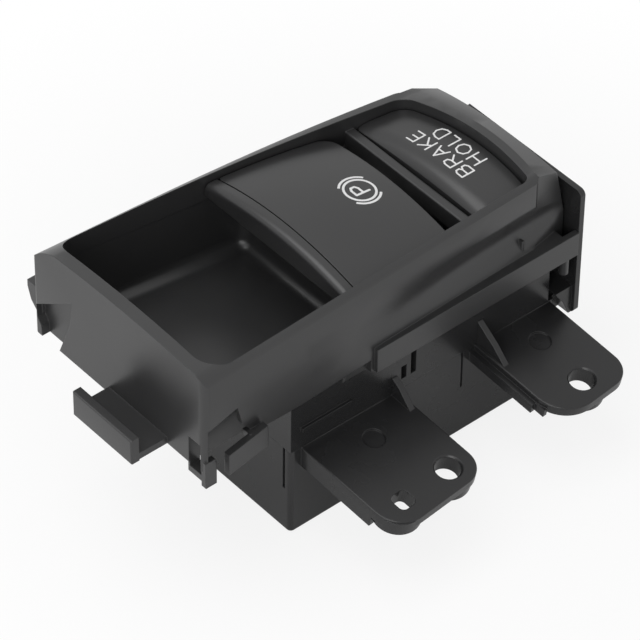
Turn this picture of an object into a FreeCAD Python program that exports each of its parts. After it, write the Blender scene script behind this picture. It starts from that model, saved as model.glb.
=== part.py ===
import FreeCAD, Part
import Sketcher
import math
import os
import re
from FreeCAD import Placement, Rotation, Vector

# An electric parking brake switch for a centre console.
# X runs along the trim from the tab end, Y to the far side, Z up from the flat base of the case.
# All sizes are in millimetres.

doc = FreeCAD.newDocument("ParkingBrakeSwitch")
sheet = doc.addObject("Spreadsheet::Sheet", "Sizes")

SIZES = {
    # Trim housing seen from above: nearly straight near side, tapering far side
    "trim_length": 105.5,
    "apron_length": 5.1,
    "near_half_width": 31.2,
    "far_half_width": 31.4,
    "near_taper": 0.024,
    "far_taper": 0.128,
    "near_front_corner": 2.0,
    "far_front_corner": 1.2,
    "far_rear_corner": 4.0,
    "near_rear_corner": 2.0,
    "rim_bow_radius": 105,
    "apron_inset": 0.9,
    "apron_near_inset": 2.3,
    "apron_foot": 115.2,
    "apron_foot_height": 49.5,
    # Trim housing in height
    "skirt_bottom": 42,
    "top_height": 72.1,
    "crown_peak": -10,
    "front_edge_drop": 7.2,
    "near_edge_rise": 5.2,
    "far_edge_rise": 4.9,
    "far_edge_dip": 1.6,
    "shoulder_drop": 0.9,
    "far_shoulder_dip": 2.6,
    "near_shoulder": 3.0,
    "far_shoulder_front": 9.0,
    "far_shoulder_rear": 3.0,
    "apron_step": 0.2,
    "apron_drop": 2.5,
    "apron_crown_radius": 96,
    # Opening, finger pocket and cross bar
    "front_rim": 3.3,
    "near_rim": 1.5,
    "far_rim": 2.4,
    "rear_rim": 2.3,
    "opening_corner": 6.0,
    "pocket_floor": 44,
    "pocket_end": 56,
    "pocket_wall": 2.0,
    "pocket_corner": 4.0,
    "pocket_floor_radius": 3.5,
    "skirt_wall": 1.7,
    "skirt_play": 0.3,
    "ledge_depth": 10.6,
    "near_double_wall": 5.2,
    "bay_wall": 4.6,
    "bar_front": 83.7,
    "bar_width": 2.7,
    "bar_drop": 6.2,
    "bar_depth": 5.0,
    # Side rails, front tab and channel
    "rail_start": 52,
    "rail_end": 115.5,
    "rail_top": 49,
    "rail_face_height": 7,
    "rail_face": 31,
    "rail_thickness": 1.6,
    "tab_reach": 10.5,
    "tab_width": 21.4,
    "tab_near": -17.8,
    "tab_lip_height": 7.0,
    "tab_thickness": 2.0,
    "channel_depth": 2.8,
    "channel_half_height": 9.5,
    "channel_height": 55.5,
    # Switch case
    "case_start": 29.2,
    "case_end": 112,
    "mid_end": 110.4,
    "case_near": 27,
    "case_far": 16.5,
    "case_wall": 2.0,
    "case_floor": 2.0,
    "case_corner": 1.4,
    "seam_height": 27,
    "rear_plate_start": 115.6,
    "rear_plate_thickness": 1.5,
    "rear_plate_near": 30.6,
    "rear_plate_top": 61.3,
    # Screw ears, in their own tilted plane
    "ear_start": 29.6,
    "ear_tilt": 10,
    "ear_turn": 5,
    "ear_thickness": 2.7,
    "boss_depth": 4.8,
    "boss_radius": 6.2,
    "screw_hole_radius": 3.25,
    "hole_chamfer": 0.4,
    "locating_width": 4.9,
    "front_ear_reach": 32.4,
    "front_ear_width": 30,
    "front_hole_along": 25.7,
    "front_hole_out": 26.2,
    "locating_along": 10.6,
    "rear_ear_start": 62.0,
    "rear_ear_reach": 29.5,
    "rear_ear_side": 5.0,
    "rear_ear_width": 24.4,
    "rear_hole_along": 7.8,
    "rear_hole_out": 23.1,
    # Lever
    "lever_crown_radius": 95,
    "lever_length_radius": 200,
    "lever_apex": 46,
    "lever_drop": 0.7,
    "lever_front": 48.1,
    "lever_back": 78.4,
    "lever_gap": 0.7,
    "lever_shell": 2.2,
    "lever_clearance": 1.9,
    "lip_front": 44.4,
    "lip_groove": 0.35,
    "lip_step": 1.4,
    "lip_rounding": 1.8,
    "pivot_along": 75,
    "pivot_drop": 1.5,
    "pivot_pin_radius": 1.5,
    "running_gap": 0.05,
    "lug_thickness": 3,
    "lug_eye": 2.8,
    "lug_play": 0.4,
    "lever_ear_radius": 3.4,
    "near_lug": -17,
    "far_lug": 7,
    "arm_width": 4,
    "arm_near": -0.4,
    "arm_front": 70.6,
    "arm_thickness": 2.4,
    "arm_rise": 1.0,
    "arm_bottom": 24.2,
    # Hold button
    "button_front_drop": 3.2,
    "button_drop": 2.9,
    "button_rear_drop": 0.2,
    "button_roll": 4.8,
    "button_crown_radius": 120,
    "button_gap": 0.5,
    "button_shell": 2.0,
    "button_skirt_depth": 5.5,
    "button_travel": 2.0,
    "plunger_radius": 1.8,
    "plunger_near": -15,
    "plunger_drop": 2.0,
    "plunger_bottom": 27.9,
    "guide_tube_drop": 9.5,
    "button_centre": 94.5,
    # Inside of the case
    "board_height": 20,
    "board_thickness": 1.6,
    "board_margin": 3.0,
    "slider_start": 64.8,
    "slider_near": -0.6,
    "slider_length": 14,
    "slider_width": 8,
    "slider_thickness": 5,
    "slider_bottom": 22.2,
    "tact_height": 4,
    "tact_width": 6,
    "tact_base_height": 2.8,
    "tact_key_radius": 1.7,
    "led_width": 3,
    "led_height": 1.2,
    "contact_length": 4.5,
    "contact_width": 2,
    "contact_thickness": 0.3,
    "wiper_width": 1.2,
    "arm_play": 0.45,
    "header_start": 40,
    "header_width": 22,
    "header_depth": 14.5,
    "header_bottom": 7,
    "header_wall": 1.5,
    "pin_count": 6,
    "pin_width": 0.64,
    "pin_margin": 3,
    "pin_stand_off": 1.5,
    "park_guide_drop": 5.4,
    "hold_guide_drop": 1.7,
    "lever_spring_radius": 3,
    "hold_spring_radius": 3.7,
    "spring_wire": 0.35,
    "lever_spring_drop": 1.5,
    "lever_spring_offset": 12.2,
    "lever_spring_near": -14,
    "guide_radius": 2.2,
    "guide_play": 0.05,
    "pin_bevel": 0.3,
    "screw_inset": 5.5,
    "screw_post_radius": 3.2,
    "screw_radius": 1.4,
    "screw_head_radius": 2.6,
    "screw_length": 34,
    "symbol_centre": 69.7,
    "symbol_near": -3.6,
    "symbol_radius": 4.2,
    "symbol_line": 0.62,
    "symbol_arc_gap": 0.45,
    "symbol_letter": 3.9,
    "inlay_depth": 0.3,
    "letter_height": 3.8,
    "letter_width": 1.18,
    "letter_line": 0.45,
    "letter_gap": 1.45,
    "upper_line": 95.5,
    "upper_start": -14.8,
    "lower_line": 100.6,
    "lower_start": -13.5,
    "legend_middle": -5.5,
}

# What follows another size: each is the other size and a clearance or step
LINKED = {
    "shoulder_height": "top_height - shoulder_drop",
    "front_edge_height": "top_height - front_edge_drop",
    "apron_height": "top_height - apron_step",
    "ledge_height": "top_height - ledge_depth",
    "bar_height": "top_height - bar_drop",
    "lever_top": "top_height - lever_drop",
    "lever_skirt_bottom": "ledge_height + lever_clearance",
    "lip_bottom": "lever_skirt_bottom + lip_step",
    "pivot_height": "ledge_height - pivot_drop",
    "arm_top": "ledge_height + arm_rise",
    "lever_spring_top": "ledge_height - lever_spring_drop",
    "lever_spring_along": "pivot_along - lever_spring_offset",
    "button_height": "top_height - button_drop",
    "button_front_height": "button_height - button_front_drop",
    "button_rear_height": "button_height - button_rear_drop",
    "button_skirt_bottom": "ledge_height - button_skirt_depth",
    "plunger_top": "ledge_height - plunger_drop",
    "park_guide_top": "lever_top - park_guide_drop",
    "hold_guide_top": "ledge_height - hold_guide_drop",
    "guide_tube_top": "plunger_top - guide_tube_drop",
}

# Each size goes into the sheet under its word
cells = {alias: str(value) for alias, value in SIZES.items()}
cells.update({alias: "=" + formula for alias, formula in LINKED.items()})
for row, (alias, content) in enumerate(cells.items(), 1):
    sheet.set("A%d" % row, alias)
    sheet.set("B%d" % row, content)
    sheet.setAlias("B%d" % row, alias)
doc.recompute()


def val(alias):
    """Read a driving size back from the sheet."""
    return float(sheet.get(alias))


def bound(text):
    """Turn words of the sheet into full references for an expression."""
    def full(match):
        word = match.group(0)
        return "Sizes." + word if word in cells else word
    return re.sub(r"[a-z_]+", full, text)


def place(obj, x, y, z):
    obj.setExpression("Placement.Base.x", bound(x))
    obj.setExpression("Placement.Base.y", bound(y))
    obj.setExpression("Placement.Base.z", bound(z))


def box(name, length, width, height, x, y, z):
    """A block from its low corner, all sizes as expressions."""
    obj = doc.addObject("Part::Box", name)
    obj.setExpression("Length", bound(length))
    obj.setExpression("Width", bound(width))
    obj.setExpression("Height", bound(height))
    place(obj, x, y, z)
    return obj


def cylinder(name, radius, height, x, y, z, along="z"):
    obj = doc.addObject("Part::Cylinder", name)
    obj.setExpression("Radius", bound(radius))
    obj.setExpression("Height", bound(height))
    if along == "x":
        obj.Placement.Rotation = Rotation(Vector(0, 1, 0), 90)
    if along == "y":
        obj.Placement.Rotation = Rotation(Vector(1, 0, 0), -90)
    place(obj, x, y, z)
    return obj


def joined(label, parts):
    obj = doc.addObject("Part::MultiFuse", label)
    obj.Shapes = parts
    return obj


def cut(label, base, tools):
    """Base less its tools."""
    obj = doc.addObject("Part::Cut", label)
    obj.Base = base
    obj.Tool = tools[0] if len(tools) == 1 else joined(label + "_tools", tools)
    return obj


def new_body(label, x, y, z, on_side=False):
    """A body at a low corner. On its side, its sketches stand upright and pads run inward."""
    body = doc.addObject("PartDesign::Body", label)
    if on_side:
        body.Placement.Rotation = Rotation(Vector(1, 0, 0), 90)
    place(body, x, y, z)
    return body


def new_sketch(body, name):
    sketch = body.newObject("Sketcher::SketchObject", name)
    plane = next(item for item in body.Origin.OriginFeatures if item.Role == "XY_Plane")
    sketch.AttachmentSupport = [(plane, "")]
    sketch.MapMode = "FlatFace"
    return sketch


def bind(sketch, constraint, text):
    """Add one dimension to a sketch and drive it from the sheet."""
    index = sketch.addConstraint(constraint)
    sketch.setExpression("Constraints[%d]" % index, bound(text))


def rectangle(sketch, x, y, length, width):
    """A level rectangle from its low corner, all four sizes as expressions."""
    first = sketch.GeometryCount
    corners = [Vector(1, 1, 0), Vector(5, 1, 0), Vector(5, 4, 0), Vector(1, 4, 0)]
    for start, end in zip(corners, corners[1:] + corners[:1]):
        sketch.addGeometry(Part.LineSegment(start, end), False)
    for index in range(4):
        after = first + (index + 1) % 4
        kind = "Vertical" if index % 2 else "Horizontal"
        sketch.addConstraint(Sketcher.Constraint("Coincident", first + index, 2, after, 1))
        sketch.addConstraint(Sketcher.Constraint(kind, first + index))
    if (x, y) == ("0", "0"):
        sketch.addConstraint(Sketcher.Constraint("Coincident", first, 1, -1, 1))
    else:
        bind(sketch, Sketcher.Constraint("DistanceX", -1, 1, first, 1, 1.0), x)
        bind(sketch, Sketcher.Constraint("DistanceY", -1, 1, first, 1, 1.0), y)
    bind(sketch, Sketcher.Constraint("DistanceX", first, 1, first, 2, 4.0), length)
    bind(sketch, Sketcher.Constraint("DistanceY", first + 1, 1, first + 1, 2, 3.0), width)


def circle(sketch, radius):
    """A circle about the sketch's own origin."""
    index = sketch.addGeometry(Part.Circle(Vector(), Vector(0, 0, 1), 1), False)
    sketch.addConstraint(Sketcher.Constraint("Coincident", index, 3, -1, 1))
    bind(sketch, Sketcher.Constraint("Radius", index, 1.0), radius)


def pad(body, sketch, length):
    result = body.newObject("PartDesign::Pad", sketch.Name + "_pad")
    result.Profile = sketch
    result.setExpression("Length", bound(length))
    return result


def pocket(body, sketch, depth=None):
    """A cut up from the body's own base plane, through everything where no depth is given."""
    result = body.newObject("PartDesign::Pocket", sketch.Name + "_pocket")
    result.Profile = sketch
    result.Reversed = True
    if depth is None:
        result.Type = "ThroughAll"
    else:
        result.setExpression("Length", bound(depth))
    return result


def row_of(body, original, length, count):
    """Repeat one feature along the body's X axis."""
    row = body.newObject("PartDesign::LinearPattern", original.Name + "_row")
    axis = next(item for item in body.Origin.OriginFeatures if item.Role == "X_Axis")
    row.Originals = [original]
    row.Direction = (axis, [""])
    row.setExpression("Length", bound(length))
    row.setExpression("Occurrences", bound(count))
    body.Tip = row
    return row


def bevelled(body, original, width):
    """Bevel both ends of a round pad."""
    bevel = body.newObject("PartDesign::Chamfer", original.Name + "_bevel")
    bevel.Base = (original, ["Edge1", "Edge3"])
    bevel.setExpression("Size", bound(width))
    body.Tip = bevel
    return bevel


def round_pin(label, radius, length, x, y, z, on_side=False):
    """A turned pin with bevelled ends."""
    body = new_body(label, x, y, z, on_side)
    outline = new_sketch(body, label + "_outline")
    circle(outline, radius)
    stock = pad(body, outline, length)
    doc.recompute()
    bevelled(body, stock, "pin_bevel")
    return body


def feature(label, shape):
    """A solid built from the sheet's values by the functions below."""
    obj = doc.addObject("Part::Feature", label)
    obj.Shape = shape
    return obj


# Plain solids in the housing's frame

def block(x0, x1, y0, y1, z0, z1):
    return Part.makeBox(x1 - x0, y1 - y0, z1 - z0, Vector(x0, y0, z0))


def prism(points, z0, z1):
    """A closed outline in plan, raised from z0 to z1."""
    corners = [Vector(x, y, z0) for x, y in points]
    face = Part.Face(Part.makePolygon(corners + corners[:1]))
    return face.extrude(Vector(0, 0, z1 - z0))


def upright_edges(shape, x, y):
    """The vertical edges that stand nearest one plan corner."""
    found = []
    for edge in shape.Edges:
        ends = [vertex.Point for vertex in edge.Vertexes]
        if len(ends) == 2 and (ends[0] - ends[1]).z ** 2 > 1:
            if math.hypot(ends[0].x - x, ends[0].y - y) < 0.01:
                if math.hypot(ends[1].x - x, ends[1].y - y) < 0.01:
                    found.append(edge)
    return found


def rounded_prism(points, radii, z0, z1):
    """A raised outline with its own radius at each corner."""
    solid = prism(points, z0, z1)
    for (x, y), radius in zip(points, radii):
        solid = solid.makeFillet(radius, upright_edges(solid, x, y))
    return solid


def near_side(x):
    return -val("near_half_width") + val("near_taper") * x


def far_side(x):
    return val("far_half_width") - val("far_taper") * x


def side_outline(x0, x1, near_inset, far_inset):
    return [(x0, near_side(x0) + near_inset), (x1, near_side(x1) + near_inset),
            (x1, far_side(x1) - far_inset), (x0, far_side(x0) - far_inset)]


def opening_outline(x0, x1, near_inset, far_inset):
    """A plan outline inside the rim, inset further on either side."""
    return side_outline(x0, x1, val("near_rim") + near_inset, val("far_rim") + far_inset)


def bowed_prism(outline, bow, radii, z0, z1):
    """A raised plan outline whose rear end bows out by one radius, rounded at its corners."""
    near_front, near_rear, far_rear, far_front = outline
    peak = Vector(near_rear[0], val("crown_peak"), z0)

    def on_bow(y):
        return Vector(peak.x - bow + math.sqrt(bow ** 2 - (y - peak.y) ** 2), y, z0)

    rear = Part.Arc(on_bow(near_rear[1]), peak, on_bow(far_rear[1])).toShape()
    spots = [Vector(near_front[0], near_front[1], z0), rear.Vertexes[0].Point,
             rear.Vertexes[-1].Point, Vector(far_front[0], far_front[1], z0)]
    wire = Part.Wire([Part.makeLine(spots[0], spots[1]), rear, Part.makeLine(spots[2], spots[3]),
                      Part.makeLine(spots[3], spots[0])])
    solid = Part.Face(wire).extrude(Vector(0, 0, z1 - z0))
    for spot, radius in zip(spots, radii):
        solid = solid.makeFillet(radius, upright_edges(solid, spot.x, spot.y))
    return solid


# Bezel

def crown_section(x, share):
    """The air above the trim at one station: shoulders and a gentle crown, then a box."""
    fade = 1 - (1 - share) ** 2
    near_edge = val("front_edge_height") + val("near_edge_rise") * fade
    far_edge = (val("front_edge_height") + val("far_edge_rise") * fade
                - val("far_edge_dip") * share ** 6)
    near_inner = val("shoulder_height")
    far_inner = near_inner - val("far_shoulder_dip") * share ** 3
    wide = val("far_shoulder_front")
    wide += (val("far_shoulder_rear") - wide) * fade
    slim = val("near_shoulder")
    near, far = near_side(x), far_side(x)
    ends = [Vector(x, near - 3, near_edge - 3), Vector(x, near, near_edge),
            Vector(x, near + slim, near_inner), Vector(x, far - wide, far_inner),
            Vector(x, far, far_edge), Vector(x, far + 3, far_edge - 3)]
    near_bulge = Vector(x, near + 0.28 * slim, near_edge + 0.74 * (near_inner - near_edge))
    far_bulge = Vector(x, far - 0.45 * wide, far_edge + 0.62 * (far_inner - far_edge))
    peak = Vector(x, val("crown_peak"), val("top_height"))
    sky = peak.z + 12
    return Part.Wire([Part.makeLine(ends[0], ends[1]),
                      Part.Arc(ends[1], near_bulge, ends[2]).toShape(),
                      Part.Arc(ends[2], peak, ends[3]).toShape(),
                      Part.Arc(ends[3], far_bulge, ends[4]).toShape(),
                      Part.makeLine(ends[4], ends[5]),
                      Part.makeLine(ends[5], Vector(x, far + 3, sky)),
                      Part.makeLine(Vector(x, far + 3, sky), Vector(x, near - 3, sky)),
                      Part.makeLine(Vector(x, near - 3, sky), ends[0])])


def sky_tool():
    end = val("trim_length") + 1
    stations = [-3, 0.3 * end, 0.58 * end, 0.84 * end, end + 8]
    sections = [crown_section(x, max(0, min(1, x / end))) for x in stations]
    return Part.makeLoft(sections, True, False)


def apron_tool():
    """The air above the apron: a crowned slope that falls away behind the rim."""
    start, peak, top = val("trim_length") - 12, val("crown_peak"), val("apron_height")
    slope = val("apron_drop") / val("apron_length")
    top += 12 * slope
    reach = 40
    drop = reach ** 2 / (2 * val("apron_crown_radius"))
    left, right = Vector(start, peak - reach, top - drop), Vector(start, peak + reach, top - drop)
    arc = Part.Arc(left, Vector(start, peak, top), right).toShape()
    sky = Vector(0, 0, 30)
    wire = Part.Wire([arc, Part.makeLine(right, right + sky), Part.makeLine(right + sky, left + sky),
                      Part.makeLine(left + sky, left)])
    return Part.Face(wire).extrude(Vector(24, 0, -24 * slope))


def leaning_tool():
    """The air behind the apron's rear face, which leans back from its edge to its foot."""
    edge = val("trim_length") + val("apron_length")
    high, foot, low = val("top_height"), val("apron_foot") + 0.4, val("apron_foot_height")
    lean = (foot - edge) / (high - 3 - low)
    side = [Vector(edge - 13 * lean, -60, high + 10), Vector(foot, -60, low),
            Vector(foot + 9, -60, low), Vector(foot + 9, -60, high + 10)]
    return Part.Face(Part.makePolygon(side + side[:1])).extrude(Vector(0, 120, 0))


def channel_tool():
    """A long soft scoop in the near flank, fading out toward the front."""
    half, middle = val("channel_half_height"), val("channel_height")
    sections = []
    for x, share in ((32, 0), (52, 0.3), (74, 0.8), (96, 1), (120, 0.75)):
        side = near_side(x)
        deep = val("channel_depth") * share
        spots = [Vector(x, side - 0.3, middle - half), Vector(x, side + 0.15 * deep, middle - 0.7 * half),
                 Vector(x, side + deep, middle), Vector(x, side + 0.15 * deep, middle + 0.7 * half),
                 Vector(x, side - 0.3, middle + half)]
        curve = Part.BSplineCurve()
        curve.interpolate(spots)
        out = Vector(0, -6, 0)
        sections.append(Part.Wire([curve.toShape(), Part.makeLine(spots[-1], spots[-1] + out),
                                   Part.makeLine(spots[-1] + out, spots[0] + out),
                                   Part.makeLine(spots[0] + out, spots[0])]))
    return Part.makeLoft(sections, True, False)


def bezel_shape():
    low = val("skirt_bottom")
    sky = val("top_height") + 6
    trim, foot = val("trim_length"), val("apron_foot")
    bow = val("rim_bow_radius")
    radii = [val("near_front_corner"), val("near_rear_corner"),
             val("far_rear_corner"), val("far_front_corner")]
    solid = bowed_prism(side_outline(0, trim, 0, 0), bow, radii, low, sky)
    solid = solid.cut(sky_tool())
    # The apron falls away behind the rim
    start = trim - 5
    plan = [(start, near_side(start) + 0.3), (foot, near_side(foot) + val("apron_near_inset")),
            (foot, far_side(foot) - val("apron_inset")),
            (start, far_side(start) - val("apron_inset"))]
    apron = bowed_prism(plan, 2.5 * bow, [0.5, 0.4, 1.2, 0.5], low, sky)
    solid = solid.fuse(apron.cut([apron_tool(), sky_tool(), leaning_tool()]))
    # Opening under the rim
    front, back = val("front_rim"), trim - val("rear_rim")
    corner = val("opening_corner")
    floor = val("pocket_floor")
    wall_x = val("pocket_end")
    ledge = val("ledge_height")
    opening = bowed_prism(opening_outline(front, back, 0, 0), bow,
                          [corner, 2.5, corner - 1, corner], ledge, sky)
    solid = solid.cut(opening)
    # Finger pocket with a rounded floor
    deep = val("near_double_wall") + val("near_rim")
    pocket = rounded_prism(opening_outline(front, wall_x, val("near_double_wall"), 0),
                           [val("pocket_corner")] * 3 + [corner], floor, ledge + 1)
    bottom_edges = [edge for edge in pocket.Edges if edge.BoundBox.ZMax < floor + 0.01]
    pocket = pocket.makeFillet(val("pocket_floor_radius"), bottom_edges)
    solid = solid.cut(pocket)
    # Switch bay, open below, with a thicker near wall
    bay_start = wall_x + val("pocket_wall")
    play = val("skirt_play")
    bay = bowed_prism(opening_outline(bay_start, back - play, val("bay_wall") - val("near_rim"),
                                      play), bow, [1, 1.5, corner - 1, 1], low - 1, ledge + 1)
    solid = solid.cut(bay)
    solid = solid.cut(block(wall_x - 6, bay_start + 1, near_side(wall_x) + deep,
                            far_side(bay_start) - val("far_rim") - play, ledge - 2.5, ledge + 1))
    # Hollow between the near skirt and the pocket wall, and under the apron
    thin = val("skirt_wall")
    hollow = [(front, near_side(front) + thin), (wall_x - 3, near_side(wall_x) + thin),
              (wall_x - 3, near_side(wall_x) + deep - thin), (front, near_side(front) + deep - thin)]
    solid = solid.cut(prism(hollow, low - 1, ledge - 3))
    hollow = prism(side_outline(trim + 0.4, foot - thin, val("channel_depth") + thin + 1, 4.0),
                   low - 1, val("top_height") - 6.5)
    rear_wall = leaning_tool()
    rear_wall.translate(Vector(-thin, 0, 0))
    solid = solid.cut(hollow.cut(rear_wall))
    # Cross bar between the lever and the button
    bar_x = val("bar_front")
    bar_top = val("bar_height")
    bar = block(bar_x, bar_x + val("bar_width"), near_side(bar_x) + val("near_rim") - 0.8,
                far_side(bar_x) - val("far_rim") + 1, bar_top - val("bar_depth"), bar_top)
    bar = bar.makeFillet(0.5, [edge for edge in bar.Edges
                               if edge.BoundBox.ZMin > bar_top - 0.01
                               and edge.BoundBox.YLength > 5])
    solid = solid.fuse(bar)
    solid = solid.cut(channel_tool())
    return near_flank_details(solid)


def near_flank_details(solid):
    """Skirt cut-outs, rails, corner window and foot on the near side."""
    low = val("skirt_bottom")
    floor = val("pocket_floor")
    # Skirt edge in front of the rail, and the slanted scoop behind the corner post
    scoop = [Vector(1.3, -40, 30), Vector(1.3, -40, 54.6), Vector(10, -40, 56.8),
             Vector(11.6, -40, 50.5), Vector(15.2, -40, 46), Vector(30, -40, 45.3),
             Vector(51, -40, 45.8), Vector(51, -40, 30)]
    outer = Part.Face(Part.makePolygon(scoop + scoop[:1])).extrude(Vector(0, 11.6, 0))
    solid = solid.cut(outer)
    # Right rail: an outer face hung from a narrow shelf
    face, thick = -val("rail_face"), val("rail_thickness")
    top, start, end = val("rail_top"), val("rail_start"), val("rail_end")
    inner = near_side(start) + 4
    rail = block(start, end, face, face + thick, top - val("rail_face_height"), top)
    shelf = block(start, end - 4, face, inner, top - thick, top)
    stub = Part.makeCylinder(1.2, 7, Vector(end - 3.4, face + 1.2, top - 11.5))
    solid = solid.fuse(rail).fuse(shelf).fuse(stub)
    # Left rail: a short plate that climbs toward the skirt
    climb = [Vector(5.5, -33.4, 40), Vector(5.5, -33.4, 46.2), Vector(17, -33.4, 48.6),
             Vector(17, -33.4, 42.4)]
    plate = Part.Face(Part.makePolygon(climb + climb[:1])).extrude(Vector(0, 1.8, 0))
    web = block(12.5, 17, -32.4, -29.6, 46, 47.8)
    solid = solid.fuse(plate).fuse(web)
    # Corner block with its window and foot
    near = near_side(0)
    corner = block(0.3, val("front_rim"), near, near + 6.2, low - 3.2, low + 3)
    foot = block(0.4, 3.6, near, near + 1.6, low - 4.8, low + 2)
    solid = solid.fuse(corner).fuse(foot)
    window = block(-1, val("front_rim") + 1, near + 1.5, near + 5.6, low - 1.4, low + 8.2)
    solid = solid.cut(window)
    tick = block(99.6, 100.4, near_side(100) + 0.9, near_side(100) + 3.8, low + 8, low + 11)
    return solid.fuse(tick)


def end_wall_details(solid):
    """Front tab, far corner recess and the clip on the far side."""
    low = val("skirt_bottom")
    near, width = val("tab_near"), val("tab_width")
    reach, thick = val("tab_reach"), val("tab_thickness")
    plate = block(-reach + 0.5, val("front_rim") - 1, near, near + width, low, low + thick)
    lip = block(-reach, -reach + 2.4, near, near + width, low - 0.4,
                low + val("tab_lip_height"))
    lip = lip.makeFillet(0.4, [edge for edge in lip.Edges
                               if edge.BoundBox.XMax < -reach + 0.01])
    solid = solid.fuse(plate).fuse(lip)
    edge_line = [Vector(-1, 30.6, 50.8), Vector(-1, 16.5, 60.8), Vector(-1, 17.6, 53.4),
                 Vector(-1, 22.4, 41), Vector(-1, 28.5, 41), Vector(-1, 28.8, 45),
                 Vector(-1, 30.2, 47)]
    recess = Part.Face(Part.makePolygon(edge_line + edge_line[:1])).extrude(Vector(3.3, 0, 0))
    solid = solid.cut(recess)
    y0 = far_side(2) - 1
    clip = [Vector(1.6, y0, 44), Vector(1.6, y0 + 4.4, 48.5), Vector(1.6, y0 + 5.6, 52),
            Vector(1.6, y0 + 5.6, 54), Vector(1.6, y0, 54)]
    hook = Part.Face(Part.makePolygon(clip + clip[:1])).extrude(Vector(4.4, 0, 0))
    return solid.fuse(hook)


feature("bezel", end_wall_details(bezel_shape()).removeSplitter())


# Lever

def lever_volume(offset):
    """Everything under the lever's doubly curved top, moved by offset."""
    length_radius = val("lever_length_radius") + offset
    crown = val("lever_crown_radius") + offset
    apex, top = val("lever_apex"), val("lever_top") + offset
    middle = (near_side(apex) + far_side(apex)) / 2
    half = 34
    drop = crown - math.sqrt(crown ** 2 - half ** 2)
    low = top - 30
    left, right = Vector(apex, middle - half, top - drop), Vector(apex, middle + half, top - drop)
    arc = Part.Arc(left, Vector(apex, middle, top), right).toShape()
    wire = Part.Wire([arc, Part.makeLine(right, Vector(apex, middle + half, low)),
                      Part.makeLine(Vector(apex, middle + half, low),
                                    Vector(apex, middle - half, low)),
                      Part.makeLine(Vector(apex, middle - half, low), left)])
    centre = Vector(apex, middle, top - length_radius)
    section = Part.Face(wire)
    section.rotate(centre, Vector(0, 1, 0), -5)
    return section.revolve(centre, Vector(0, 1, 0), 20)


def lever_plan(x0, x1, inset, z0, z1, radii):
    gap = val("lever_gap") + inset
    return rounded_prism(opening_outline(x0, x1, gap, gap), radii, z0, z1)


# Strokes of the lettering: across and up, in parts of the letter height
LETTERS = {
    "P": [[(0, 0), (0, 1), (0.42, 1), (0.6, 0.88), (0.6, 0.6), (0.42, 0.47), (0, 0.47)]],
    "B": [[(0, 0), (0, 1), (0.42, 1), (0.58, 0.88), (0.58, 0.64), (0.42, 0.52), (0, 0.52)],
          [(0.42, 0.52), (0.62, 0.38), (0.62, 0.14), (0.45, 0), (0, 0)]],
    "R": [[(0, 0), (0, 1), (0.42, 1), (0.6, 0.88), (0.6, 0.6), (0.42, 0.47), (0, 0.47)],
          [(0.32, 0.47), (0.64, 0)]],
    "A": [[(0, 0), (0.35, 1), (0.7, 0)], [(0.12, 0.32), (0.58, 0.32)]],
    "K": [[(0, 0), (0, 1)], [(0.58, 1), (0, 0.4)], [(0.2, 0.6), (0.62, 0)]],
    "E": [[(0.52, 0), (0, 0), (0, 1), (0.52, 1)], [(0, 0.52), (0.46, 0.52)]],
    "H": [[(0, 0), (0, 1)], [(0.64, 0), (0.64, 1)], [(0, 0.52), (0.64, 0.52)]],
    "O": [[(0.38, 0), (0.1, 0.16), (0, 0.5), (0.1, 0.84), (0.38, 1), (0.66, 0.84),
           (0.76, 0.5), (0.66, 0.16), (0.38, 0)]],
    "L": [[(0, 1), (0, 0), (0.46, 0)]],
    "D": [[(0, 0), (0, 1), (0.3, 1), (0.55, 0.86), (0.66, 0.5), (0.55, 0.14), (0.3, 0),
           (0, 0)]],
}


def letter_prism(letter, x_base, y_start, tall, line, low):
    """One letter of round-ended strokes, its top toward the tab end."""
    wide = tall * val("letter_width")
    solid = None
    for path in LETTERS[letter]:
        spots = [Vector(x_base - v * tall, y_start + u * wide, low) for u, v in path]
        for start, end in zip(spots, spots[1:]):
            along = end - start
            stroke = Part.makeBox(along.Length, line, 9, Vector(0, -line / 2, 0))
            stroke.rotate(Vector(), Vector(0, 0, 1), math.degrees(math.atan2(along.y, along.x)))
            stroke.translate(start)
            piece = stroke.fuse(Part.makeCylinder(line / 2, 9, start))
            solid = piece if solid is None else solid.fuse(piece)
        solid = solid.fuse(Part.makeCylinder(line / 2, 9, spots[-1]))
    return solid.removeSplitter()


def symbol_prisms():
    """The parking brake sign: a ringed P between two arcs, read from the near side."""
    low, tall = val("lever_top") - 6, 12
    centre = Vector(val("symbol_centre"), val("symbol_near"), low)
    outer, line = val("symbol_radius"), val("symbol_line")

    def ring(radius, start, sweep):
        big = Part.makeCylinder(radius, tall, centre, Vector(0, 0, 1), sweep)
        small = Part.makeCylinder(radius - line, tall, centre, Vector(0, 0, 1), sweep)
        part = big.cut(small)
        part.rotate(centre, Vector(0, 0, 1), start)
        return part

    wide = outer + line + val("symbol_arc_gap")
    letter_tall = val("symbol_letter")
    letter = letter_prism("P", centre.x + letter_tall / 2, centre.y - 0.3 * letter_tall,
                          letter_tall, line, low)
    return [ring(outer, 0, 360), ring(wide, 40, 100), ring(wide, 220, 100), letter]


def inlay(prisms, volume_at):
    """Thin pieces let into a curved surface."""
    skin = volume_at(0.02).cut(volume_at(-val("inlay_depth")))
    return Part.makeCompound([piece.common(skin) for piece in prisms])


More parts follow.
